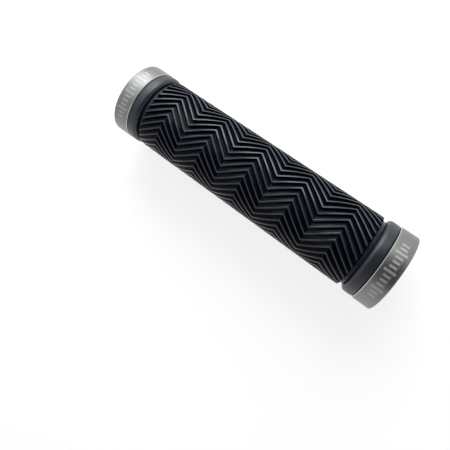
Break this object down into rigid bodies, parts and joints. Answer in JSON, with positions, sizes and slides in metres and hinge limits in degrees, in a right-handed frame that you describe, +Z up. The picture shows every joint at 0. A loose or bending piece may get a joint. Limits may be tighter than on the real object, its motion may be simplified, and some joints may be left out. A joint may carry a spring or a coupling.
{
  "type": "handlebar grip",
  "caption": "Lock-on bicycle handlebar grip: ribbed rubber sleeve on a plastic core, clamped by a split aluminium ring with a pinch screw at each end.",
  "frame": {"origin": "on the surface under the grip, halfway along it and below its axis", "axes": "+X along the grip towards its outboard clamp ring, +Z up, away from the slits of the clamp rings"},
  "size_m": [0.135, 0.034, 0.034],
  "materials": {
    "core_plastic": "smooth satin moulding, dark grey",
    "grip_rubber": "matte black with satin rib crests",
    "ring_aluminium": "turned and satin anodised, silver",
    "screw_steel": "black oxide"
  },
  "bodies": {
    "root": {"core_sleeve": "core_plastic", "rubber_grip": "grip_rubber", "outboard_clamp_ring": "ring_aluminium", "inboard_clamp_ring": "ring_aluminium", "outboard_pinch_screw": "screw_steel", "inboard_pinch_screw": "screw_steel"}
  },
  "joints": []
}
